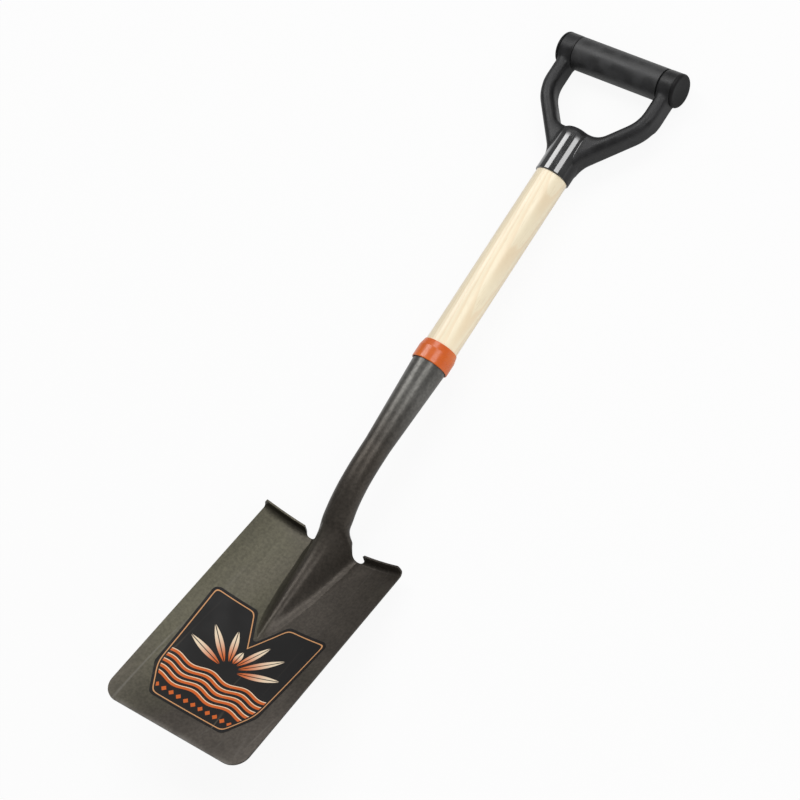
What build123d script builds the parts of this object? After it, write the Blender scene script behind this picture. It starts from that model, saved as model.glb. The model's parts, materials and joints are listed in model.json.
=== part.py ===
from build123d import *
import math
import os

# A short square point shovel: one pressed steel blade with its own socket, a turned ash shaft
# and a moulded D grip. Sizes are millimetres and degrees. It is worked out in the shaft's own
# frame, with Y up the shaft from the pan's top edge, X across and Z to the front, and then laid
# on its back on the floor.

# Blade sheet and pan
sheet = 1.6
blade_length = 212.5
edge_width = 144.0
shoulder_width = 142.5
corner_radius = 15.0
dish_depth = 15.0
lift_angle = 14.3
heel_drop = 21.5

# Treads, turned forward along the pan's top edge, and the notches beside the neck
tread_depth = 8.8
tread_gap = 62.6
tread_corner = 7.0
bend_radius = 3.0
notch_depth = 3.7
notch_rise = 9.0
notch_corner = 5.0
neck_root_width = 38.6

# Frog, the ridge that stiffens the pan below the neck
frog_length = 104.0
frog_height = 29.0
frog_swell = 4.0
frog_swell_length = 30.0
frog_crest_radius = 11.0
frog_tip_crest_radius = 3.9
frog_flank_angle = 65.0
frog_tip_flank_angle = 42.0
frog_foot_radius = 10.0
frog_tip_foot_radius = 22.0
frog_foot_angle = 25.0
frog_tip_foot_angle = 14.0

# Neck and rolled socket
neck_length = 80.0
neck_diameter = 22.8
neck_drop = 18.5
neck_flare = 2.0
neck_curve = 3.0
neck_wrap = 105.0
socket_length = 90.0
mouth_diameter = 31.2
socket_slot = 4.0

# Shaft, its two tenons and the collar at the socket's mouth
shaft_diameter = 28.6
bare_shaft = 173.5
foot_tenon_gap = 6.0
grip_tenon_diameter = 25.0
grip_tenon_length = 37.0
tenon_chamfer = 1.0
collar_height = 18.0
collar_skirt = 12.0
collar_wall = 0.8
collar_taper = 6.0
collar_round = 0.7

# Socket rivet, set flush under the collar
rivet_diameter = 4.8
rivet_below_mouth = 6.5

# Grip yoke: ferrule, flared legs and end rings
grip_reach = 113.5
ferrule_diameter = 31.2
ferrule_round = 6.0
ferrule_lip = 0.8
crotch_height = 46.0
crotch_radius = 14.0
leg_width = 12.6
leg_thickness = 19.0
leg_round = 5.6
leg_back_round = 2.0
leg_span = 112.8
leg_root_inset = 0.8
flare_start = 11.0
flare_angle = 40.0
flare_radius = 22.0
leg_bend_radius = 40.0
ring_diameter = 29.6
ring_width = 14.0
ring_overhang = 0.4
ring_bore = 23.0

# Grip bar and its end caps
bar_diameter = 29.2
bar_bore = 17.0
cap_thickness = 2.7
cap_round = 2.2
cap_plug_length = 12.0

# Grip screw
screw_diameter = 4.0
screw_length = 20.0
screw_head_diameter = 8.0
screw_head_height = 2.4
screw_height = 18.0
screw_seat_depth = 1.6
screw_slot_width = 1.2
screw_slot_length = 5.0
screw_slot_depth = 1.0

# Label on the pan
label_width = 118.0
label_waist_width = 108.0
label_foot_width = 76.0
label_bottom = 20.0
label_waist = 46.0
label_top = 130.0
label_notch_depth = 28.0
label_notch_width = 33.0
label_notch_corner = 3.0
label_corner = 6.0
label_thickness = 0.2

# Clearances between pieces
socket_fit = 0.15
collar_fit = 0.1
rivet_fit = 0.05
tenon_fit = 0.1
bar_fit = 0.15
seat_gap = 0.05
label_gap = 0.05

# Working values for cutting tools, the pan's surface, section curves and searches
cut_reach = 120.0
edge_margin = 8.0
pan_columns = 15
pan_rows = 13
pan_tolerance = 1e-4
pan_degree = 5
side_points = 8
curve_step = 1e-3
halvings = 50
frog_stations = (0.91, 0.76, 0.59, 0.42, 0.25, 0.1, 0.0)
neck_stations = (0.12, 0.2, 0.3, 0.45, 0.6, 0.75, 0.9, 1.0)
rest_tolerance = 0.1
foot_sink = 0.7 * sheet
tip_sink = 0.3 * sheet

# Places up the shaft, from the pan's top edge
socket_mouth = neck_length + socket_length
collar_bottom = socket_mouth - collar_skirt
collar_top = collar_bottom + collar_height
ferrule_mouth = collar_top + bare_shaft
bar_place = ferrule_mouth + grip_reach
rivet_place = socket_mouth - rivet_below_mouth
screw_place = ferrule_mouth + screw_height

shaft_radius = shaft_diameter / 2
mouth_radius = mouth_diameter / 2
neck_radius = neck_diameter / 2
ferrule_radius = ferrule_diameter / 2
ring_face = leg_span / 2 + ring_overhang
screw_seat = ferrule_radius - screw_seat_depth
lift = math.radians(lift_angle)
blade_frame = Plane(
    origin=(0, -blade_length * math.cos(lift), blade_length * math.sin(lift) - heel_drop),
    x_dir=(1, 0, 0),
    z_dir=(0, math.sin(lift), math.cos(lift)),
)


def half_width(along):
    """Half the pan's width at a distance from the cutting edge."""
    share = along / blade_length
    return (edge_width + (shoulder_width - edge_width) * share) / 2


def pan_height(across, along):
    """The pan's front surface: flat at the cutting edge, dished towards the treads."""
    sag = dish_depth * (1 - (1 - along / blade_length) ** 2)
    return sag * ((across / half_width(along)) ** 2 - 1)


def pan_sheet(rise, thickness, side):
    """A layer that follows the pan's dish, wider than the pan, thickened along its normal."""
    reach = edge_width / 2 + edge_margin
    grid = []
    for row in range(pan_rows):
        along = (blade_length + edge_margin) * row / (pan_rows - 1) - edge_margin
        line = []
        for column in range(pan_columns):
            across = reach * (2 * column / (pan_columns - 1) - 1)
            line.append((across, along, pan_height(across, along) + rise))
        grid.append(line)
    surface = Face.make_surface_from_array_of_points(grid, tol=pan_tolerance, max_deg=pan_degree)
    return extrude(surface, thickness, dir=(0, 0, side))


def tread_face():
    """The turned flange across the whole top edge, seen along the pan."""
    reach = edge_width / 2 + edge_margin
    slope = 2 * dish_depth * reach / half_width(blade_length) ** 2
    curves = []
    for rise in (-sheet, tread_depth):
        end = pan_height(reach, blade_length) + rise
        curves.append(Bezier((-reach, end), (0, end - slope * reach), (reach, end)))
    low, high = curves
    return make_face([low, Line(low @ 1, high @ 1), high, Line(high @ 0, low @ 0)])


def pan_outline():
    """The pan seen from the front, with its rounded lower corners."""
    low = half_width(0)
    high = half_width(blade_length)
    corners = [(-low, 0), (low, 0), (high, blade_length), (-high, blade_length)]
    face = make_face(Polyline(corners, close=True))
    return fillet(face.vertices().sort_by(Axis.Y)[:2], corner_radius)


def tread_waste():
    """What is trimmed off around the treads' rounded outer corners, seen along the pan."""
    half = half_width(blade_length)
    high = pan_height(half, blade_length) + tread_depth
    kept = Pos(0, high - cut_reach / 2) * Rectangle(2 * half, cut_reach)
    kept = fillet(kept.vertices().sort_by(Axis.Y)[2:], tread_corner)
    return Pos(0, high) * Rectangle(2 * half + edge_margin, 2 * tread_corner) - kept


def notch(side, outer):
    """A round-bottomed cut beside the neck's flared root, out to a distance from the middle."""
    low = blade_length - notch_depth
    high = blade_length + notch_rise
    throat = neck_radius + neck_flare
    corners = [(neck_root_width / 2, low), (outer, low), (outer, high), (throat, high)]
    face = make_face(Polyline([(side * x, y) for x, y in corners], close=True))
    face = fillet(face.vertices().sort_by(Axis.Y)[:2], notch_corner)
    return extrude(Pos(0, 0, -cut_reach) * face, 2 * cut_reach)


def pan_with_treads():
    """The dished pan, its treads on their bends, the notches and the neck's gap."""
    top_edge = Plane(origin=(0, blade_length, 0), x_dir=(1, 0, 0), z_dir=(0, -1, 0))
    body = pan_sheet(0, sheet, -1) + extrude(top_edge * tread_face(), sheet)
    inside = body.edges().sort_by_distance((0, blade_length - sheet, -dish_depth))[0]
    body = fillet(inside, bend_radius)
    outside = body.edges().sort_by_distance((0, blade_length, -dish_depth - sheet))[0]
    body = fillet(outside, bend_radius + sheet)
    body = body & extrude(Pos(0, 0, -cut_reach) * pan_outline(), 2 * cut_reach)
    body = body - extrude(top_edge * tread_waste(), 2 * sheet, both=True)
    gap = Box(neck_root_width + sheet, 2 * notch_depth - sheet, 2 * cut_reach)
    body = body - Pos(0, blade_length, 0) * gap
    for side in (-1, 1):
        body = body - notch(side, tread_gap / 2)
    return body


def toward_tip(root, tip, share):
    """A value that changes evenly from the frog's root to its tip."""
    return root + (tip - root) * min(share, 1)


def ridge_rise(across, height, share):
    """The frog's height over the pan: a crest arc, straight flanks and a foot arc."""
    crest = toward_tip(frog_crest_radius, frog_tip_crest_radius, share)
    foot = toward_tip(frog_foot_radius, frog_tip_foot_radius, share)
    steep = math.radians(toward_tip(frog_flank_angle, frog_tip_flank_angle, share))
    shallow = math.radians(toward_tip(frog_foot_angle, frog_tip_foot_angle, share))
    cosine = (crest + foot * math.cos(shallow) - height) / (crest + foot)
    flank = math.acos(min(max(cosine, math.cos(steep)), math.cos(shallow)))
    crest_fall = crest * (1 - math.cos(flank))
    foot_fall = foot * (math.cos(shallow) - math.cos(flank))
    flank_fall = max(height - crest_fall - foot_fall, 0)
    crest_end = crest * math.sin(flank)
    flank_end = crest_end + flank_fall / math.tan(flank)
    foot_end = flank_end + foot * (math.sin(flank) - math.sin(shallow))
    if across <= crest_end:
        return height - crest + math.sqrt(crest**2 - across**2)
    if across <= flank_end:
        return height - crest_fall - (across - crest_end) * math.tan(flank)
    base = height - crest_fall - flank_fall
    if across <= foot_end:
        inward = flank_end + foot * math.sin(flank) - across
        return base + foot * math.cos(flank) - math.sqrt(foot**2 - inward**2)
    return base - foot_fall - (across - foot_end) * math.tan(shallow)


def ridge_reach(height, share):
    """Half width at which the frog's foot has sunk into the sheet."""
    near = 0.0
    far = edge_width
    for _ in range(halvings):
        middle = (near + far) / 2
        if ridge_rise(middle, height, share) > -foot_sink:
            near = middle
        else:
            far = middle
    return near


def under_curve(curve, share, stretch):
    """The point one sheet thickness under a section curve."""
    x_before, z_before = curve(share - curve_step)
    x_after, z_after = curve(share + curve_step)
    length = math.hypot(x_after - x_before, z_after - z_before)
    x, z = curve(share)
    down = stretch * (x_after - x_before) / length
    return x + sheet * (z_after - z_before) / length, z - sheet * down


def section_wires(plane, curve, floor, stretch):
    """The outside of a section, closed along its floor, and its open inside."""
    shares = [index / side_points for index in range(-side_points, side_points + 1)]
    top = [plane.from_local_coords(Vector(*curve(share))) for share in shares]
    base = [plane.from_local_coords(Vector(*floor(-share))) for share in shares]
    outside = Wire([Edge.make_spline(top), Edge.make_spline(base)])
    under = [Vector(*under_curve(curve, share, stretch)) for share in shares]
    drop = Vector(0, -cut_reach / 2)
    corners = [under[-1], under[-1] + drop, under[0] + drop, under[0]]
    corners = [plane.from_local_coords(corner) for corner in corners]
    edges = [Edge.make_spline([plane.from_local_coords(point) for point in under])]
    for start, end in zip(corners, corners[1:]):
        edges.append(Edge.make_line(start, end))
    return outside, Wire(edges)


def frog_section(distance):
    """Section across the frog, at a distance down the pan from the treads."""
    share = distance / frog_length
    swell = frog_swell * max(1 - distance / frog_swell_length, 0) ** 2
    height = frog_height * (1 - share) + swell
    reach = ridge_reach(height, share)
    along = blade_length - distance

    def curve(side):
        across = reach * side
        return across, pan_height(across, along) + ridge_rise(abs(across), height, share)

    def floor(side):
        across = reach * side
        return across, pan_height(across, along) - foot_sink

    plane = Plane(
        origin=blade_frame.from_local_coords(Vector(0, along)),
        x_dir=(1, 0, 0),
        z_dir=blade_frame.y_dir * -1,
    )
    return section_wires(plane, curve, floor, 1.0)


def socket_radius(place):
    """Outer radius of the socket's straight taper, at a place up the shaft."""
    return neck_radius + (mouth_radius - neck_radius) * (place - neck_length) / socket_length


def neck_section(place):
    """Section across the cranked neck or the rolled socket above it."""
    bend = max(1 - place / neck_length, 0)
    radius = socket_radius(max(place, neck_length)) + neck_flare * bend**3
    centre = -neck_drop * bend**neck_curve
    slope = neck_curve * neck_drop * bend ** (neck_curve - 1) / neck_length
    closed = 180 - math.degrees(math.asin(socket_slot / 2 / radius))
    wrap = math.radians(closed + (neck_wrap - closed) * bend**2)

    def curve(side):
        return radius * math.sin(wrap * side), centre + radius * math.cos(wrap * side)

    def floor(side):
        return radius * math.sin(wrap) * side, centre + radius * math.cos(wrap)

    plane = Plane(origin=(0, place, 0), x_dir=(1, 0, 0), z_dir=(0, -1, 0))
    return section_wires(plane, curve, floor, math.hypot(1, slope))


def horn_solids():
    """The outside and the hollow of the frog and neck, and of the straight socket above."""
    run = [frog_section(frog_length * (1 + tip_sink / frog_height))]
    notch_floor = notch_depth + foot_sink / 2
    for share in frog_stations:
        run.append(frog_section(notch_floor + (frog_length - notch_floor) * share))
    for share in neck_stations:
        run.append(neck_section(neck_length * share))
    ends = [run[-1], neck_section(socket_mouth)]
    solids = []
    for layer in (0, 1):
        neck = Solid.make_loft([wires[layer] for wires in run])
        socket = Solid.make_loft([wires[layer] for wires in ends], ruled=True)
        solids.append(neck + socket)
    return solids


def cross_pin(radius, length, place):
    """A round bar through the shaft from side to side."""
    return Pos(0, place, 0) * Rot(Y=90) * Cylinder(radius, length)


def make_blade():
    """Pan, treads, frog, neck and socket: one pressed and rolled sheet."""
    outside, hollow = horn_solids()
    for side in (-1, 1):
        outside = outside - blade_frame.location * notch(side, edge_width)
    body = blade_frame.location * pan_with_treads() + outside - hollow
    return body - cross_pin(rivet_diameter / 2 + rivet_fit, cut_reach, rivet_place)


def label_outline():
    """Rounded label, narrower at its foot and notched at its top for the frog's tip."""
    foot = (label_foot_width / 2, label_bottom)
    waist = (label_waist_width / 2, label_waist)
    right = [foot, waist, (label_width / 2, label_top), (label_notch_width / 2, label_top)]
    left = [(-x, y) for x, y in reversed(right)]
    notch_foot = (0, label_top - label_notch_depth)
    face = make_face(Polyline(right + [notch_foot] + left, close=True))
    corners = face.vertices().sort_by_distance(notch_foot)
    face = fillet(corners[1:], label_corner)
    return fillet(face.vertices().sort_by_distance(notch_foot)[0], label_notch_corner)


def make_label():
    """A printed film on the front of the pan."""
    layer = pan_sheet(label_gap, label_thickness, 1)
    layer = layer & extrude(Pos(0, 0, -cut_reach) * label_outline(), 2 * cut_reach)
    return blade_frame.location * layer


def turned(points):
    """A solid turned about the shaft's axis from radius and height pairs."""
    return revolve(make_face(Polyline(points, close=True)), Axis.Y)


def make_shaft():
    """Ash shaft, tapered into the socket and stepped into the grip's ferrule."""
    foot = neck_length + foot_tenon_gap
    foot_radius = socket_radius(foot) - sheet - socket_fit
    mouth = socket_mouth + seat_gap
    shoulder = ferrule_mouth - seat_gap
    tip = ferrule_mouth + grip_tenon_length
    tenon = grip_tenon_diameter / 2
    profile = [
        (0, foot),
        (foot_radius - tenon_chamfer, foot),
        (foot_radius, foot + tenon_chamfer),
        (mouth_radius - sheet - socket_fit, mouth),
        (shaft_radius, mouth),
        (shaft_radius, shoulder),
        (tenon, shoulder),
        (tenon, tip - tenon_chamfer),
        (tenon - tenon_chamfer, tip),
        (0, tip),
    ]
    body = turned(profile)
    body = body - cross_pin(rivet_diameter / 2 + rivet_fit, cut_reach, rivet_place)
    return body - screw_shank(rivet_fit)


def make_collar():
    """Plastic collar: its skirt covers the socket's rim and its bore grips the shaft."""
    skirt_bore = mouth_radius + collar_fit
    neck = shaft_radius + collar_fit
    skirt = max(skirt_bore, neck) + collar_wall
    rim = socket_mouth + seat_gap
    profile = [
        (skirt_bore, collar_bottom),
        (skirt, collar_bottom),
        (skirt, collar_top - collar_taper),
        (neck + collar_wall, collar_top),
        (neck, collar_top),
        (neck, rim),
        (skirt_bore, rim),
    ]
    body = turned(profile)
    ends = body.edges().filter_by(GeomType.CIRCLE).group_by(SortBy.RADIUS)
    return fillet(ends[-1], collar_round)


def make_rivet():
    """Rivet through socket and tenon, its ends dressed flush with the socket's outside."""
    skin = [
        (0, neck_length),
        (neck_radius, neck_length),
        (mouth_radius, socket_mouth),
        (0, socket_mouth),
    ]
    return cross_pin(rivet_diameter / 2, cut_reach, rivet_place) & turned(skin)


def screw_shank(clearance):
    """The screw's pointed shank, from its seat at the ferrule's back towards the front."""
    radius = screw_diameter / 2 + clearance
    tip = screw_length + clearance
    profile = [(0, -seat_gap), (radius, -seat_gap), (radius, tip - 2 * radius), (0, tip)]
    return Pos(0, screw_place, -screw_seat) * Rot(X=90) * turned(profile)


def screw_head(clearance, height):
    """The round space that the screw's head takes up behind its seat."""
    head = Cylinder(screw_head_diameter / 2 + clearance, height)
    return Pos(0, screw_place, -screw_seat - height / 2) * head


def make_screw():
    """Round-headed screw with a crossed slot, driven into the tenon from the back."""
    body = screw_shank(0) + Pos(0, 0, -seat_gap) * screw_head(0, screw_head_height)
    back = -screw_seat - seat_gap - screw_head_height
    for width, height in ((screw_slot_width, screw_slot_length), (screw_slot_length, screw_slot_width)):
        body = body - Pos(0, screw_place, back) * Box(width, height, 2 * screw_slot_depth)
    return body


def leg_curve(side):
    """Outer edge of one leg: out along the flare from the ferrule and up to its ring."""
    turn = math.radians(flare_angle)
    start = ferrule_radius - leg_root_inset
    end = leg_span / 2
    arcs = (flare_radius + leg_bend_radius) * (1 - math.cos(turn))
    run = (end - start - arcs) / math.sin(turn)
    foot = ferrule_mouth + flare_start
    flare = JernArc((side * start, foot), (0, 1), flare_radius, -side * flare_angle)
    straight = Line(flare @ 1, flare @ 1 + flare % 1 * run)
    bend = JernArc(straight @ 1, straight % 1, leg_bend_radius, side * flare_angle)
    upright = Line(bend @ 1, (side * end, bar_place + leg_width))
    return [flare, straight, bend, upright]


def leg_frame():
    """The D frame: both legs and the web between them, rounder at the front than at the back."""
    right = leg_curve(1)
    left = leg_curve(-1)
    top = Line(right[-1] @ 1, left[-1] @ 1)
    foot = Line(left[0] @ 0, right[0] @ 0)
    face = make_face(right + left + [top, foot])
    opening = offset(face, -leg_width, kind=Kind.INTERSECTION)
    height = grip_reach - crotch_height
    opening = opening & Pos(0, bar_place - height / 2) * Rectangle(leg_span, height)
    opening = fillet(opening.vertices().sort_by(Axis.Y)[:2], crotch_radius)
    face = face & Pos(0, bar_place - grip_reach / 2) * Rectangle(leg_span, grip_reach)
    frame = extrude(face - opening, leg_thickness / 2, both=True)
    lowest = (foot @ 0).Y
    for side, radius in ((1, leg_round), (-1, leg_back_round)):
        rims = frame.edges().filter_by(lambda edge: side * edge.center().Z > leg_thickness / 4)
        rims = rims.filter_by(lambda edge: lowest < edge.center().Y - seat_gap < bar_place - 2 * seat_gap)
        frame = fillet(rims, radius)
    return frame


def make_yoke():
    """Moulded yoke: the ferrule, the D frame and the end rings."""
    crotch = ferrule_mouth + crotch_height
    profile = [(0, ferrule_mouth), (ferrule_radius, ferrule_mouth), (ferrule_radius, crotch), (0, crotch)]
    ferrule = turned(profile)
    rims = ferrule.edges().filter_by(GeomType.CIRCLE).sort_by(Axis.Y)
    ferrule = fillet(rims[-1], ferrule_round)
    rims = ferrule.edges().filter_by(GeomType.CIRCLE).sort_by(Axis.Y)
    body = fillet(rims[0], ferrule_lip) + leg_frame()
    for side in (-1, 1):
        ring = Rot(Y=90) * Cylinder(ring_diameter / 2, ring_width)
        body = body + Pos(side * (ring_face - ring_width / 2), bar_place, 0) * ring
    body = body - cross_pin(ring_bore / 2, 2 * cut_reach, bar_place)
    bore_depth = grip_tenon_length + seat_gap
    bore = Rot(X=-90) * Cylinder(grip_tenon_diameter / 2 + tenon_fit, 2 * bore_depth)
    body = body - Pos(0, ferrule_mouth, 0) * bore
    return body - screw_shank(tenon_fit) - screw_head(tenon_fit, ferrule_radius)


def make_bar():
    """Hollow hand bar, stepped at both ends into the yoke's rings."""
    body = cross_pin(bar_diameter / 2, 2 * (ring_face - ring_width - seat_gap), bar_place)
    body = body + cross_pin(ring_bore / 2 - bar_fit, 2 * ring_face, bar_place)
    return body - cross_pin(bar_bore / 2, 2 * cut_reach, bar_place)


def make_cap(side):
    """End cap: a rounded disc against the ring, and a plug in the bar's bore."""
    disc = Cylinder(ring_diameter / 2, cap_thickness)
    disc = fillet(disc.edges().sort_by(Axis.Z)[-1], cap_round)
    plug = Cylinder(bar_bore / 2 - bar_fit, cap_plug_length)
    body = disc + Pos(0, 0, -(cap_thickness + cap_plug_length) / 2) * plug
    centre = side * (ring_face + seat_gap + cap_thickness / 2)
    return Pos(centre, bar_place, 0) * Rot(Y=side * 90) * body


def surface_points(piece):
    """Reach up the shaft and height of points all over a piece."""
    points, _ = piece.tessellate(rest_tolerance)
    return [(point.Y, point.Z) for point in points]


def laid(points, turn):
    """The same reaches and heights once the shovel is turned back about X."""
    cosine = math.cos(turn)
    sine = math.sin(turn)
    return [(y * cosine + z * sine, z * cosine - y * sine) for y, z in points]


def lowest(points):
    return min(height for _, height in points)


def lying_place(pieces):
    """Lay the shovel on its heel and its grip, over the middle of its own footprint."""
    points = {name: surface_points(piece) for name, piece in pieces.items()}
    grip = points["grip_yoke"] + points["left_end_cap"] + points["right_end_cap"]
    low = 0.0
    high = lift
    for _ in range(halvings):
        turn = (low + high) / 2
        if lowest(laid(points["blade"], turn)) < lowest(laid(grip, turn)):
            low = turn
        else:
            high = turn
    everything = laid(sum(points.values(), []), turn)
    reaches = [reach for reach, _ in everything]
    middle = (min(reaches) + max(reaches)) / 2
    return Pos(0, -middle, -lowest(everything)) * Rot(X=-math.degrees(turn))


pieces = {
    "blade": make_blade(),
    "blade_label": make_label(),
    "socket_collar": make_collar(),
    "socket_rivet": make_rivet(),
    "shaft": make_shaft(),
    "grip_yoke": make_yoke(),
    "grip_bar": make_bar(),
    "left_end_cap": make_cap(-1),
    "right_end_cap": make_cap(1),
    "grip_screw": make_screw(),
}
place = lying_place(pieces)
os.makedirs("parts", exist_ok=True)
for name, piece in pieces.items():
    export_step(place * piece, f"parts/{name}.step")
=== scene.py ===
import json
import math

import bmesh
import bpy
from mathutils import Matrix, Quaternion, Vector


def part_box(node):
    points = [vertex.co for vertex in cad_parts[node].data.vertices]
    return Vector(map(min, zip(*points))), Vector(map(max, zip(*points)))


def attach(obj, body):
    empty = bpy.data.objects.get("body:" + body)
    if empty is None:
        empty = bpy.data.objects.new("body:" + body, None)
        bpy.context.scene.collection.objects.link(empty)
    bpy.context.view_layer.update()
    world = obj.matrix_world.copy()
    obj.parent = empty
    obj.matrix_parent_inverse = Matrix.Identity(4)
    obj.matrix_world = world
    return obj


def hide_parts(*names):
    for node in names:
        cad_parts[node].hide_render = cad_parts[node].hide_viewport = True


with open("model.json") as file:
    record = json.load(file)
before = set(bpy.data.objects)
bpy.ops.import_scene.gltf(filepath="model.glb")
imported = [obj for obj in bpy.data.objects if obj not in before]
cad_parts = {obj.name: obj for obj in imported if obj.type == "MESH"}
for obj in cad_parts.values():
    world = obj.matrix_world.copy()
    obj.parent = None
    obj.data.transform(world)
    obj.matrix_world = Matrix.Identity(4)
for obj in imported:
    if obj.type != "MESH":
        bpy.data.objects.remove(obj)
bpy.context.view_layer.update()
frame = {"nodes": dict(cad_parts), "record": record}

# Blade: one pressed sheet of carbon steel, with its pan, treads, frog, neck and rolled socket in
# one piece. It is dipped in a thin dark lacquer, which dries unevenly over the rolled steel, lies
# smoother on the socket, and is rubbed off along the ground cutting edge. The socket is painted a
# paler grey as a painted highlight for the broad sheen of light along it.
blade_length = 0.2125
olive_lacquer = (0.062, 0.0575, 0.0385, 1)
brown_lacquer = (0.062, 0.053, 0.044, 1)
# Painted highlight: the socket's paler grey stands in for the sheen of light along it.
socket_painted_sheen = (0.124, 0.121, 0.112, 1)
rubbed_steel = (0.160, 0.150, 0.135, 1)
lacquer_metal = 0.62
lacquer_gleam = 0.4
lacquer_patches = (7.0, 2.0)
lacquer_specks = (420.0, 3.0)
rolled_grain = (1.0, 3.0, (700.0, 9.0, 700.0))
blade_scratches = 26.0
edge_rub_width = 0.005
edge_rub_patches = (0.35, 0.65, 0.1, 0.5)
scratch_rub = 0.35
edge_brown_width = 0.11
edge_brown = 0.35
neck_brown = (-0.03, 0.02, 0.0, 0.30)
side_brown = (-0.020, 0.010, -0.20, 0.06)
brown_tones = (0.35, 0.65)
speck_shade = (0.25, 0.75, 0.80, 1.18)
smudge_shade = (0.3, 0.7, 0.88, 1.10)
rolled_roughness = (0.3, 0.7, 0.28, 0.34)
smudge_roughness = 0.16
socket_sheen_and_polish_span = (0.05, 0.13)
socket_polish = 0.06
speck_relief = 0.5
lacquer_relief = (0.0003, 0.12)
noise_mean = 0.5
scratch_turns = (0.5, -0.9, 1.9)
scratch_tilt = 0.3
scratch_stretch = (1.0, 0.06, 1.0)
scratch_detail = 1.0
scratch_width = 0.012
scratch_places = (60.0, 2.0)
scratch_cover = (0.55, 0.72)
smudge_clouds = (38.0, 5.0)


def new_material(name):
    """An empty named finish, its node tree and its shader."""
    material = bpy.data.materials.new(name)
    material.use_nodes = True
    tree = material.node_tree
    return material, tree, tree.nodes["Principled BSDF"]


def dress(node, material):
    """Gives a carried-over piece its finish."""
    mesh = frame["nodes"][node].data
    mesh.materials.clear()
    mesh.materials.append(material)


def add(tree, kind, inputs, **settings):
    """A node with its settings and its inputs: a socket is linked, anything else is a value."""
    node = tree.nodes.new(kind)
    for name, value in settings.items():
        setattr(node, name, value)
    for name, value in inputs.items():
        if isinstance(value, bpy.types.NodeSocket):
            tree.links.new(value, node.inputs[name])
        else:
            node.inputs[name].default_value = value
    return node


def maths(tree, operation, *values):
    """The result of one arithmetic step."""
    return add(tree, "ShaderNodeMath", dict(enumerate(values)), operation=operation).outputs[0]


def blend(tree, factor, first, second, mode="MIX"):
    """A colour made from two colours."""
    inputs = {0: factor, 6: first, 7: second}
    return add(tree, "ShaderNodeMix", inputs, data_type="RGBA", blend_type=mode).outputs[2]


def ramp(tree, value, low, high, start=0.0, end=1.0):
    """A value taken smoothly from one range, low to high, to another, start to end."""
    inputs = {0: value, 1: low, 2: high, 3: start, 4: end}
    return add(tree, "ShaderNodeMapRange", inputs, interpolation_type="SMOOTHSTEP").outputs[0]


def noise(tree, place, scale, detail, stretch=(1, 1, 1)):
    """Soft random values from 0 to 1, by scale, detail and a closeness along each axis."""
    place = add(tree, "ShaderNodeMapping", {"Vector": place, "Scale": stretch}).outputs[0]
    inputs = {"Vector": place, "Scale": scale, "Detail": detail}
    return add(tree, "ShaderNodeTexNoise", inputs).outputs[0]


def own_place(tree, origin, axis, scale=1.0):
    """Coordinates from a point of the object, with Y along one of its sloping axes."""
    slope = math.atan2(axis[2], axis[1])
    place = tree.nodes.new("ShaderNodeTexCoord").outputs["Object"]
    shift = add(tree, "ShaderNodeVectorMath", {0: place, 1: origin}, operation="SUBTRACT")
    turn = {"Vector": shift.outputs[0], "Rotation": (-slope, 0, 0), "Scale": (scale,) * 3}
    return add(tree, "ShaderNodeMapping", turn).outputs[0]


def split(tree, place):
    """The X, Y and Z of a place."""
    return add(tree, "ShaderNodeSeparateXYZ", {0: place}).outputs


def cover(tree, shader, colour, roughness):
    """Colour and roughness that change over a surface."""
    tree.links.new(colour, shader.inputs["Base Color"])
    tree.links.new(roughness, shader.inputs["Roughness"])


def raise_surface(tree, shader, height, depth, strength):
    """Fine relief on a surface."""
    inputs = {"Height": height, "Strength": strength, "Distance": depth}
    tree.links.new(add(tree, "ShaderNodeBump", inputs).outputs[0], shader.inputs["Normal"])


def new_group(name, inputs, outputs):
    """An empty shared effect with its named sockets."""
    group = bpy.data.node_groups.new(name, "ShaderNodeTree")
    for socket, kind in inputs.items():
        group.interface.new_socket(socket, in_out="INPUT", socket_type=kind)
    for socket in outputs:
        group.interface.new_socket(socket, in_out="OUTPUT", socket_type="NodeSocketFloat")
    given = group.nodes.new("NodeGroupInput").outputs
    result = group.nodes.new("NodeGroupOutput").inputs
    return group, given, result


def effect(tree, group, inputs):
    """A shared effect placed in a material, with its own values."""
    return add(tree, "ShaderNodeGroup", inputs, node_tree=group).outputs


handling_marks, given, result = new_group(
    "handling_marks",
    {"Place": "NodeSocketVector", "Spacing": "NodeSocketFloat"},
    ("Scratches", "Smudges"),
)
scratches = 0.0
for turn in scratch_turns:
    slant = {"Vector": given["Place"], "Rotation": (scratch_tilt, 0, turn), "Scale": scratch_stretch}
    slanted = add(handling_marks, "ShaderNodeMapping", slant).outputs[0]
    wander = noise(handling_marks, slanted, given["Spacing"], scratch_detail)
    wander = maths(handling_marks, "ABSOLUTE", maths(handling_marks, "SUBTRACT", wander, noise_mean))
    scratch = ramp(handling_marks, wander, 0.0, scratch_width, 1.0, 0.0)
    where = ramp(handling_marks, noise(handling_marks, slanted, *scratch_places), *scratch_cover)
    scratch = maths(handling_marks, "MULTIPLY", scratch, where)
    scratches = maths(handling_marks, "MAXIMUM", scratches, scratch)
handling_marks.links.new(scratches, result["Scratches"])
handling_marks.links.new(noise(handling_marks, given["Place"], *smudge_clouds), result["Smudges"])

mounts = {mount["name"]: mount for mount in frame["record"]["mounts"]}
blade_axis = Vector(mounts["left_tread"]["axis"])
heel = Vector(mounts["left_tread"]["pos_m"])
heel.x = 0
lacquered_steel, tree, shader = new_material("lacquered_steel")
place = own_place(tree, heel, blade_axis)
offset = split(tree, place)
across = offset["X"]
along = offset["Y"]
marks = effect(tree, handling_marks, {"Place": place, "Spacing": blade_scratches})
speck = noise(tree, place, *lacquer_specks)
rolled = noise(tree, place, *rolled_grain)

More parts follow.
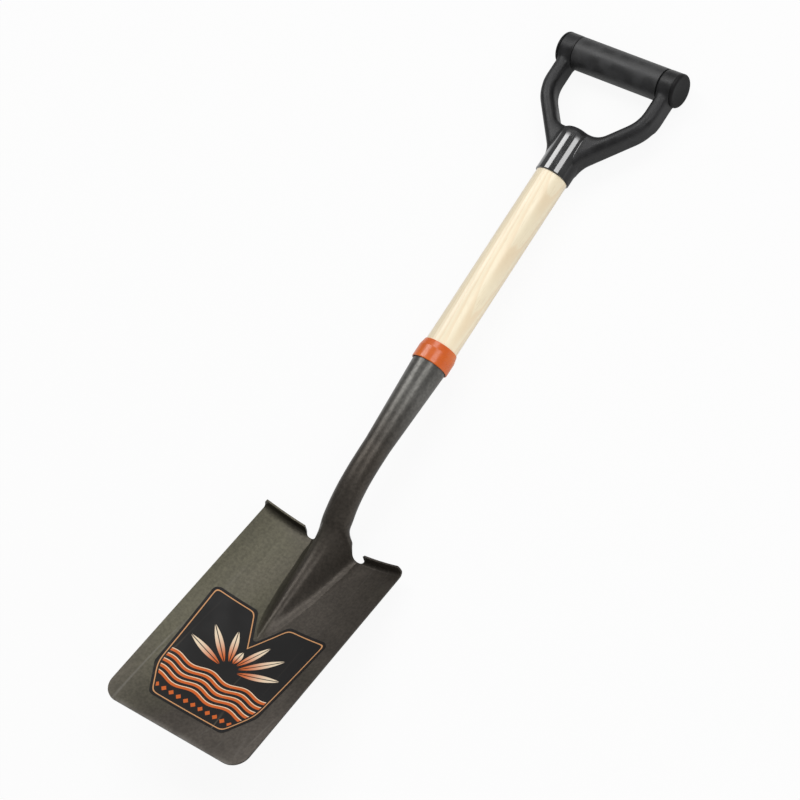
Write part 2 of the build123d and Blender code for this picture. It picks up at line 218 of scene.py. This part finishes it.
rub = ramp(tree, along, -blade_length, edge_rub_width - blade_length, 1.0, 0.0)
rub = maths(tree, "MULTIPLY", rub, ramp(tree, marks["Smudges"], *edge_rub_patches))
rub = maths(tree, "MAXIMUM", rub, maths(tree, "MULTIPLY", marks["Scratches"], scratch_rub))
brown = ramp(tree, along, -blade_length, edge_brown_width - blade_length, edge_brown, 0.0)
brown = maths(tree, "ADD", brown, ramp(tree, along, *neck_brown))
brown = maths(tree, "ADD", brown, ramp(tree, across, *side_brown))
brown = maths(tree, "ADD", brown, noise(tree, place, *lacquer_patches))
tint = blend(tree, ramp(tree, brown, *brown_tones), olive_lacquer, brown_lacquer)
# The socket's span is painted a paler grey, a painted highlight for the sheen of light along it.
tint = blend(tree, ramp(tree, along, *socket_sheen_and_polish_span), tint, socket_painted_sheen)
tint = blend(tree, 1.0, tint, ramp(tree, speck, *speck_shade), "MULTIPLY")
tint = blend(tree, 1.0, tint, ramp(tree, marks["Smudges"], *smudge_shade), "MULTIPLY")
tint = blend(tree, rub, tint, rubbed_steel)
rough = ramp(tree, rolled, *rolled_roughness)
rough = maths(tree, "MULTIPLY_ADD", marks["Smudges"], smudge_roughness, rough)
rough = maths(tree, "ADD", rough, ramp(tree, along, *socket_sheen_and_polish_span, 0.0, -socket_polish))
cover(tree, shader, tint, rough)
shader.inputs["Metallic"].default_value = lacquer_metal
shader.inputs["Specular IOR Level"].default_value = lacquer_gleam
relief = maths(tree, "MULTIPLY_ADD", speck, speck_relief, rolled)
raise_surface(tree, shader, relief, *lacquer_relief)
dress("blade", lacquered_steel)

# Label: a thin printed film, pressed on the front of the pan below the frog. It is black, with a
# fan of leaves over wavy furrows, a row of diamonds and a thin border, in orange, tan and cream.
# Its outline is the right half, in millimetres from the middle of its foot.
label_black = (0.008, 0.0075, 0.0075, 1)
label_orange = (0.58, 0.115, 0.016, 1)
label_tan = (0.60, 0.30, 0.13, 1)
label_cream = (0.80, 0.66, 0.48, 1)
label_outline = ((0, 0), (38, 0), (54, 26), (59, 110), (16.5, 110), (0, 82))
label_corner = 6.0
millimetres = 1000.0
ink_edge = 0.12
border_inset = (2.4, 3.3)
print_margin = (4.6, 4.8)
fan_foot = 50.0
fan_spacing = math.radians(25.0)
leaves_each_side = 3
leaf_start = 8.0
leaf_growth = (0.0, 1.6, 22.0, 49.0)
leaf_width = 6.6
leaf_rib = 0.5
leaf_fade = (0.1, 0.8)
furrow_rows = (16.8, 44.8)
furrow_pitch = 5.6
furrow_wave_height = 1.8
furrow_wave_length = 36.0
furrow_ink = (0.08, 0.62, 0.03)
furrow_crest = (0.50, 0.62, 0.03)
diamond_row = 10.0
diamond_pitch = 7.6
diamond_size = 2.6
label_scratches = 34.0
label_scratch_show = 0.12
label_roughness = (0.3, 0.7, 0.44, 0.56)
label_gleam = 0.18
label_relief = (0.0006, 0.10)


def band(tree, value, low, high, edge=ink_edge):
    """1 where a value lies between two limits, with a soft edge."""
    rise = ramp(tree, value, low - edge, low + edge)
    return maths(tree, "MULTIPLY", rise, ramp(tree, value, high - edge, high + edge, 1.0, 0.0))


def distance(tree, first, second):
    """How far a place lies from a point or an axis, by its two offsets from it."""
    squares = [maths(tree, "POWER", offset, 2.0) for offset in (first, second)]
    return maths(tree, "SQRT", maths(tree, "ADD", *squares))


label_film, tree, shader = new_material("label_film")
label_low, label_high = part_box("blade_label")
label_foot = Vector((0, label_low.y, label_high.z))
label_foot = heel + blade_axis * (label_foot - heel).dot(blade_axis)
offset = split(tree, own_place(tree, label_foot, blade_axis, millimetres))
across = offset["X"]
up = offset["Y"]

inset = 2 * label_corner
beside = maths(tree, "ABSOLUTE", across)
for start, end in zip(label_outline, label_outline[1:]):
    run = Vector(end) - Vector(start)
    inward = Vector((-run.y, run.x)).normalized()
    from_line = maths(tree, "MULTIPLY_ADD", beside, inward.x, -inward.dot(Vector(start)))
    from_line = maths(tree, "MULTIPLY_ADD", up, inward.y, from_line)
    inset = maths(tree, "SMOOTH_MIN", inset, from_line, label_corner)
border = band(tree, inset, *border_inset)
printed = ramp(tree, inset, *print_margin)

above = maths(tree, "SUBTRACT", up, fan_foot)
fan_turn = maths(tree, "DIVIDE", maths(tree, "ARCTAN2", across, above), fan_spacing)
leaf = maths(tree, "ROUND", fan_turn)
leaf_number = maths(tree, "ABSOLUTE", leaf)
leaf_turn = maths(tree, "MULTIPLY", maths(tree, "SUBTRACT", fan_turn, leaf), fan_spacing)
reach = distance(tree, across, above)
leaf_side = maths(tree, "MULTIPLY", maths(tree, "ABSOLUTE", leaf_turn), reach)
leaf_length = maths(tree, "SUBTRACT", ramp(tree, leaf_number, *leaf_growth), leaf_start)
share = maths(tree, "DIVIDE", maths(tree, "SUBTRACT", reach, leaf_start), leaf_length)
swell = maths(tree, "MULTIPLY", share, maths(tree, "SUBTRACT", 1.0, share))
room = maths(tree, "SUBTRACT", maths(tree, "MULTIPLY", swell, 2 * leaf_width), leaf_side)
leaves = maths(tree, "LESS_THAN", leaf_number, leaves_each_side + 1)
leaves = maths(tree, "MULTIPLY", leaves, ramp(tree, room, 0.0, 2 * ink_edge))
leaves = maths(tree, "MULTIPLY", leaves, ramp(tree, leaf_side, leaf_rib / 2, leaf_rib))

wave = maths(tree, "SINE", maths(tree, "MULTIPLY", across, 2 * math.pi / furrow_wave_length))
row = maths(tree, "MULTIPLY_ADD", wave, furrow_wave_height, up)
row_share = maths(tree, "FRACT", maths(tree, "DIVIDE", row, furrow_pitch))
field = maths(tree, "MULTIPLY", band(tree, row, *furrow_rows), printed)
furrows = maths(tree, "MULTIPLY", band(tree, row_share, *furrow_ink), field)
crests = maths(tree, "MULTIPLY", band(tree, row_share, *furrow_crest), field)

from_row = maths(tree, "ABSOLUTE", maths(tree, "SUBTRACT", up, diamond_row))
from_diamond = maths(tree, "ADD", maths(tree, "PINGPONG", across, diamond_pitch / 2), from_row)
diamonds = ramp(tree, from_diamond, diamond_size - ink_edge, diamond_size + ink_edge, 1.0, 0.0)
diamonds = maths(tree, "MULTIPLY", diamonds, printed)

place = own_place(tree, heel, blade_axis)
marks = effect(tree, handling_marks, {"Place": place, "Spacing": label_scratches})
scuffs = maths(tree, "MULTIPLY", marks["Scratches"], label_scratch_show)
leaf_ink = blend(tree, ramp(tree, share, *leaf_fade), label_orange, label_cream)
inks = (
    (border, label_tan),
    (leaves, leaf_ink),
    (furrows, label_orange),
    (crests, label_cream),
    (diamonds, label_orange),
    (scuffs, label_cream),
)
tint = label_black
for motif, ink in inks:
    tint = blend(tree, motif, tint, ink)
cover(tree, shader, tint, ramp(tree, marks["Smudges"], *label_roughness))
shader.inputs["Specular IOR Level"].default_value = label_gleam
raise_surface(tree, shader, marks["Smudges"], *label_relief)
dress("blade_label", label_film)

# Collar: a thin moulded sleeve of glossy orange plastic. It is pushed down over the shaft and snaps
# over the socket's mouth, where it hides the sheet's raw rim and the rivet.
collar_orange = (0.72, 0.165, 0.022, 1)
collar_red = (0.62, 0.110, 0.016, 1)
collar_tones = (0.35, 0.75)
collar_scratches = 60.0
collar_roughness = (0.3, 0.7, 0.16, 0.28)
collar_scratch_roughness = 0.2
collar_relief = (0.0008, 0.15)
shaft_axis = Vector(mounts["shaft_clip_seat"]["axis"])
shaft_middle = Vector(mounts["shaft_clip_seat"]["pos_m"])
orange_plastic, tree, shader = new_material("orange_plastic")
place = own_place(tree, shaft_middle, shaft_axis)
marks = effect(tree, handling_marks, {"Place": place, "Spacing": collar_scratches})
tint = blend(tree, ramp(tree, marks["Smudges"], *collar_tones), collar_orange, collar_red)
rough = ramp(tree, marks["Smudges"], *collar_roughness)
rough = maths(tree, "MULTIPLY_ADD", marks["Scratches"], collar_scratch_roughness, rough)
cover(tree, shader, tint, rough)
raise_surface(tree, shader, marks["Smudges"], *collar_relief)
dress("socket_collar", orange_plastic)

# Rivet and screw: zinc-plated steel wire, headed and pointed in a press. The rivet pins the socket
# to the shaft under the collar, and the screw holds the ferrule from behind.
zinc_light = (0.52, 0.52, 0.50, 1)
zinc_dark = (0.36, 0.36, 0.37, 1)
zinc_spangle = (900.0, 2.0)
zinc_tones = (0.35, 0.65)
zinc_scratches = 120.0
zinc_roughness = (0.3, 0.7, 0.28, 0.46)
bare_steel, tree, shader = new_material("bare_steel")
place = own_place(tree, shaft_middle, shaft_axis)
marks = effect(tree, handling_marks, {"Place": place, "Spacing": zinc_scratches})
tint = blend(tree, ramp(tree, noise(tree, place, *zinc_spangle), *zinc_tones), zinc_light, zinc_dark)
cover(tree, shader, tint, ramp(tree, marks["Smudges"], *zinc_roughness))
shader.inputs["Metallic"].default_value = 1.0
for node in ("socket_rivet", "grip_screw"):
    dress(node, bare_steel)

# Shaft: a straight rod of pale ash, turned and sanded, under one coat of clear varnish. The year
# rings lie off to one side, so they cross the rod as long arches with fine open pores.
ash_pale = (0.92, 0.81, 0.59, 1)
ash_late = (0.82, 0.61, 0.38, 1)
ash_pore = (0.55, 0.37, 0.20, 1)
pith_side = 0.046
pith_back = 0.030
pith_lean = 0.055
ring_spacing = 0.0024
ring_waver = 0.0022
ring_waves = (1.0, 3.0, (55.0, 6.0, 55.0))
late_rise = (0.25, 0.85)
late_fall = (0.90, 1.0, 1.0, 0.0)
late_show = 0.42
pore_lines = (1.0, 2.0, (2600.0, 60.0, 2600.0))
pore_tones = (0.60, 0.74)
pore_zone = (0.0, 0.45, 1.0, 0.15)
pore_show = 0.5
wood_drift = (1.0, 2.0, (40.0, 5.0, 40.0))
drift_shade = (0.3, 0.7, 0.93, 1.04)
shaft_scratches = 40.0
wood_roughness = (0.3, 0.7, 0.34, 0.48)
varnish_weight = 0.7
varnish_roughness = 0.36
wood_relief = (0.00012, 0.35)
ash_wood, tree, shader = new_material("ash_wood")
place = own_place(tree, shaft_middle, shaft_axis)
offset = split(tree, place)
marks = effect(tree, handling_marks, {"Place": place, "Spacing": shaft_scratches})
beside_pith = maths(tree, "ADD", offset["X"], pith_side)
beside_pith = maths(tree, "MULTIPLY_ADD", offset["Y"], pith_lean, beside_pith)
before_pith = maths(tree, "ADD", offset["Z"], pith_back)
waver = maths(tree, "SUBTRACT", noise(tree, place, *ring_waves), noise_mean)
from_pith = distance(tree, beside_pith, before_pith)
from_pith = maths(tree, "MULTIPLY_ADD", waver, 2 * ring_waver, from_pith)
ring = maths(tree, "FRACT", maths(tree, "DIVIDE", from_pith, ring_spacing))
late = maths(tree, "MULTIPLY", ramp(tree, ring, *late_rise), ramp(tree, ring, *late_fall))
pores = ramp(tree, noise(tree, place, *pore_lines), *pore_tones)
pores = maths(tree, "MULTIPLY", pores, ramp(tree, ring, *pore_zone))
tint = blend(tree, maths(tree, "MULTIPLY", late, late_show), ash_pale, ash_late)
tint = blend(tree, maths(tree, "MULTIPLY", pores, pore_show), tint, ash_pore)
tint = blend(tree, 1.0, tint, ramp(tree, noise(tree, place, *wood_drift), *drift_shade), "MULTIPLY")
cover(tree, shader, tint, ramp(tree, marks["Smudges"], *wood_roughness))
shader.inputs["Coat Weight"].default_value = varnish_weight
shader.inputs["Coat Roughness"].default_value = varnish_roughness
raise_surface(tree, shader, maths(tree, "SUBTRACT", late, pores), *wood_relief)
dress("shaft", ash_wood)

# Grip yoke: one black moulding, with the polished ferrule that takes the shaft, two legs with a
# fine moulded grain, and the rings that hold the hand bar. Its corners are blended, apart from
# those at the ferrule's mouth, the rings' end faces and the screw's seat.
yoke_merge = 0.00001
yoke_voxel = 0.0006
smoothing_step = 0.5
evening_rounds = 4
blend_rounds = 36
blend_from_mouth = 0.005
blend_to_end = 0.0018
screw_keep = 0.0065
ferrule_radius = 0.0156
ferrule_true = 0.0005
seam_reach = (0.00004, 0.0016)
seam_rounds = 12
plastic_black = (0.009, 0.009, 0.0095, 1)
plastic_grey = (0.018, 0.018, 0.019, 1)
scuffed_plastic = (0.06, 0.06, 0.06, 1)
grain_scale = 1500.0
grain_softness = 0.6
grain_clouds = (90.0, 4.0)
grain_relief = (0.00025, 0.16)
cloud_tones = (0.35, 0.70)
plastic_scratches = 44.0
plastic_scuffs = 0.25
yoke_roughness = (0.3, 0.7, 0.36, 0.48)
yoke_gleam = 0.34
polish_depth = (0.00003, 0.0001)
polish_side = (0.0118, 0.0150)
polish_end = (0.033, 0.0385)
polish_roughness = -0.30
polish_coat_roughness = 0.10
polish_coat_ior = 1.8
ferrule_mouth = mounts["shaft_clip_seat"]["dims"]["length_mm"] / millimetres / 2
screw_low, screw_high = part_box("grip_screw")
screw = (screw_low + screw_high) / 2
ring_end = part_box("grip_yoke")[1].x
scene = bpy.context.scene


def off_axis(point):
    """A point's offset from the shaft's axis."""
    from_middle = point - shaft_middle
    return from_middle - shaft_axis * from_middle.dot(shaft_axis)


def is_blended(point):
    """Whether a point of the yoke lies where its corners are blended."""
    from_mouth = (point - shaft_middle).dot(shaft_axis) - ferrule_mouth
    from_screw = Vector((point.x, point.y - screw.y)).length
    at_screw = point.z < shaft_middle.z and from_screw < screw_keep
    at_end = abs(point.x) > ring_end - blend_to_end
    return from_mouth > blend_from_mouth and not at_screw and not at_end


def smooth(shape, verts, rounds):
    """Evens out part of a shape, one small step at a time."""
    axes = {"use_axis_x": True, "use_axis_y": True, "use_axis_z": True}
    for _ in range(rounds):
        bmesh.ops.smooth_vert(shape, verts=verts, factor=smoothing_step, **axes)


shape = bmesh.new()
shape.from_mesh(frame["nodes"]["grip_yoke"].data)
bmesh.ops.remove_doubles(shape, verts=shape.verts, dist=yoke_merge)
yoke_mesh = bpy.data.meshes.new("moulded_yoke")
shape.to_mesh(yoke_mesh)
shape.free()
yoke = bpy.data.objects.new("moulded_yoke", yoke_mesh)
scene.collection.objects.link(yoke)
even_faces = yoke.modifiers.new("even_faces", "REMESH")
even_faces.mode = "VOXEL"
even_faces.voxel_size = yoke_voxel
even_yoke = yoke.evaluated_get(bpy.context.evaluated_depsgraph_get())
even_mesh = bpy.data.meshes.new_from_object(even_yoke)
yoke.modifiers.clear()
shape = bmesh.new()
shape.from_mesh(even_mesh)
bpy.data.meshes.remove(even_mesh)
blended = [vertex for vertex in shape.verts if is_blended(vertex.co)]
smooth(shape, shape.verts, evening_rounds)
smooth(shape, blended, blend_rounds)
for vertex in shape.verts:
    outward = off_axis(vertex.co)
    excess = outward.length - ferrule_radius
    if abs(excess) < ferrule_true:
        trued = excess * (excess / ferrule_true) ** 2
        vertex.co += outward.normalized() * (trued - excess)
seam_low, seam_high = (ferrule_radius + beyond for beyond in seam_reach)
seam = [vertex for vertex in blended if seam_low < off_axis(vertex.co).length < seam_high]
smooth(shape, seam, seam_rounds)
for face in shape.faces:
    face.smooth = True
shape.to_mesh(yoke_mesh)
shape.free()

moulded_grain, given, result = new_group(
    "moulded_grain",
    {"Place": "NodeSocketVector", "Scale": "NodeSocketFloat"},
    ("Height", "Shade"),
)
cell_inputs = {"Vector": given["Place"], "Scale": given["Scale"], "Smoothness": grain_softness}
cells = add(moulded_grain, "ShaderNodeTexVoronoi", cell_inputs, feature="SMOOTH_F1")
moulded_grain.links.new(cells.outputs["Distance"], result["Height"])
moulded_grain.links.new(noise(moulded_grain, given["Place"], *grain_clouds), result["Shade"])


def black_moulding(name, dark, light, scuffs):
    """A black plastic of two cloudy tones with pale scuffs, before its gloss and relief."""
    material, tree, shader = new_material(name)
    place = own_place(tree, shaft_middle, shaft_axis)
    grain = effect(tree, moulded_grain, {"Place": place, "Scale": grain_scale})
    marks = effect(tree, handling_marks, {"Place": place, "Spacing": plastic_scratches})
    tint = blend(tree, ramp(tree, grain["Shade"], *cloud_tones), dark, light)
    tint = blend(tree, maths(tree, "MULTIPLY", marks["Scratches"], scuffs), tint, scuffed_plastic)
    return material, tree, shader, place, grain, marks, tint


black_plastic, tree, shader, place, grain, _, tint = black_moulding(
    "black_plastic", plastic_black, plastic_grey, plastic_scuffs
)
offset = split(tree, place)
radius = distance(tree, offset["X"], offset["Z"])
beside = maths(tree, "ABSOLUTE", offset["X"])
polish_inner, polish_outer = (ferrule_radius + depth for depth in polish_depth)
polish_low, polish_high = (ferrule_mouth + height for height in polish_end)
polish = ramp(tree, radius, polish_inner, polish_outer, 1.0, 0.0)
polish = maths(tree, "MULTIPLY", polish, ramp(tree, beside, *polish_side, 1.0, 0.0))
polish = maths(tree, "MULTIPLY", polish, ramp(tree, offset["Y"], polish_low, polish_high, 1.0, 0.0))
rough = ramp(tree, grain["Shade"], *yoke_roughness)
rough = maths(tree, "MULTIPLY_ADD", polish, polish_roughness, rough)
cover(tree, shader, tint, rough)
tree.links.new(polish, shader.inputs["Coat Weight"])
shader.inputs["Coat Roughness"].default_value = polish_coat_roughness
shader.inputs["Coat IOR"].default_value = polish_coat_ior
shader.inputs["Specular IOR Level"].default_value = yoke_gleam
relief = maths(tree, "MULTIPLY", grain["Height"], maths(tree, "SUBTRACT", 1.0, polish))
raise_surface(tree, shader, relief, *grain_relief)
yoke_mesh.materials.clear()
yoke_mesh.materials.append(black_plastic)
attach(yoke, "root")
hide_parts("grip_yoke")

# Hand bar: a hollow moulding of the same black plastic, painted a slightly paler black as a
# painted highlight for the broad sheen of light along it. It has the legs' grain, and is held
# between the yoke's rings by its end caps.
# Painted highlight: the bar's paler black stands in for the sheen of light along it.
bar_sheen_black = (0.017, 0.017, 0.0175, 1)
bar_sheen_grey = (0.034, 0.034, 0.035, 1)
bar_roughness = (0.3, 0.7, 0.40, 0.52)
bar_plastic, tree, shader, _, grain, _, tint = black_moulding(
    "bar_plastic", bar_sheen_black, bar_sheen_grey, plastic_scuffs
)
cover(tree, shader, tint, ramp(tree, grain["Shade"], *bar_roughness))
raise_surface(tree, shader, grain["Height"], *grain_relief)
dress("grip_bar", bar_plastic)

# End caps: two matte black plugs, moulded on their own and pressed into the bar's bore through the
# yoke's rings. They are painted a darker black than the rest of the grip as painted shade, and
# carry no scuffs.
# Painted shade: the caps' darker black stands in for the shade on their end faces.
cap_shade_black = (0.006, 0.006, 0.006, 1)
cap_scuffs = 0.0
cap_roughness = (0.3, 0.7, 0.5, 0.62)
cap_gleam = 0.2
cap_relief = (0.0002, 0.4)
cap_plastic, tree, shader, _, grain, marks, tint = black_moulding(
    "cap_plastic", cap_shade_black, plastic_black, cap_scuffs
)
cover(tree, shader, tint, ramp(tree, marks["Smudges"], *cap_roughness))
shader.inputs["Specular IOR Level"].default_value = cap_gleam
raise_surface(tree, shader, grain["Height"], *cap_relief)
for node in ("left_end_cap", "right_end_cap"):
    dress(node, cap_plastic)

# Floor: a wide sheet of white paper that the shovel lies on. It is nearly white to the camera, grey
# in reflections, and keeps a faint shadow of the shovel.
white = (1, 1, 1, 1)
floor_size = 8.0
floor_paper = (0.75, 0.75, 0.75, 1)
floor_white = 0.92
floor_mirrored = 0.35
shape = bmesh.new()
bmesh.ops.create_grid(shape, x_segments=1, y_segments=1, size=floor_size / 2)
floor_mesh = bpy.data.meshes.new("floor")
shape.to_mesh(floor_mesh)
shape.free()
floor = bpy.data.objects.new("floor", floor_mesh)
scene.collection.objects.link(floor)
paper, tree, shader = new_material("floor_paper")
tree.nodes.remove(shader)
matte = add(tree, "ShaderNodeBsdfDiffuse", {"Color": floor_paper})
glow = add(tree, "ShaderNodeEmission", {"Color": white, "Strength": 1.0})
ray = tree.nodes.new("ShaderNodeLightPath").outputs
seen = maths(tree, "MAXIMUM", ray["Is Camera Ray"], ray["Is Transmission Ray"])
seen = maths(tree, "MULTIPLY", seen, floor_white)
mirrored = maths(tree, "MULTIPLY", ray["Is Glossy Ray"], floor_mirrored)
glowing = maths(tree, "MAXIMUM", seen, mirrored)
mix = add(tree, "ShaderNodeMixShader", {0: glowing, 1: matte.outputs[0], 2: glow.outputs[0]})
tree.links.new(mix.outputs[0], tree.nodes["Material Output"].inputs["Surface"])
floor_mesh.materials.append(paper)

# Lamps: soft boxes far off in a pale room. The key and front lamps draw the two bright lines on the
# ferrule, the top lamp lights the blade, and the fill lamp, which isn't mirrored in anything,
# softens the shadows.
room_light = 0.28
light_distance = 4.0
key_toward = (-0.56, 0.2525, 0.78)
key_size = (2.0, 1.22)
key_power = 46.5
front_toward = (0.50, 0.266, 0.805)
front_size = (1.9, 1.23)
front_power = 37.0
top_toward = (-0.10, 0.64, 0.76)
top_size = (1.8, 1.5)
top_power = 40.0
fill_toward = (0.80, -0.45, 0.38)
fill_size = (3.0, 3.0)
fill_power = 58.0


def softbox(name, target, toward, size, power):
    """A soft light far off, facing one place on the shovel, with its length along the shovel."""
    lamp = bpy.data.lights.new(name, "AREA")
    lamp.shape = "RECTANGLE"
    lamp.size, lamp.size_y = size
    lamp.energy = power
    light = bpy.data.objects.new(name, lamp)
    direction = Vector(toward).normalized()
    side = Vector((0, 1, 0)).cross(direction).normalized()
    light.location = target + direction * light_distance
    light.rotation_euler = Matrix((side, direction.cross(side), direction)).transposed().to_euler()
    light.visible_camera = False
    scene.collection.objects.link(light)
    return light


world = bpy.data.worlds.new("studio")
scene.world = world
world.use_nodes = True
sky = world.node_tree.nodes["Background"]
sky.inputs["Color"].default_value = white
sky.inputs["Strength"].default_value = room_light
grip_foot = shaft_middle + shaft_axis * ferrule_mouth
softbox("key_light", grip_foot, key_toward, key_size, key_power)
softbox("front_light", grip_foot, front_toward, front_size, front_power)
softbox("top_light", heel, top_toward, top_size, top_power)
fill_light = softbox("fill_light", shaft_middle, fill_toward, fill_size, fill_power)
fill_light.visible_glossy = False

# Camera: a long lens that looks down on the shovel's front from its right side, rolled so that the
# shovel leans from the lower left to the upper right.
view_aim = Vector((-0.00523, -0.01465, 0.030))
view_azimuth = math.radians(69.518)
view_elevation = math.radians(57.334)
view_roll = math.radians(-40.753)
view_distance = 2.3249
view_lens = 129.06
lens = bpy.data.cameras.new("camera")
lens.lens = view_lens
camera = bpy.data.objects.new("camera", lens)
back = Vector((
    math.cos(view_elevation) * math.sin(view_azimuth),
    -math.cos(view_elevation) * math.cos(view_azimuth),
    math.sin(view_elevation),
))
camera.location = view_aim + back * view_distance
camera.rotation_euler = (back.to_track_quat("Z", "Y") @ Quaternion((0, 0, 1), view_roll)).to_euler()
scene.collection.objects.link(camera)
scene.camera = camera
scene.view_settings.view_transform = "Standard"
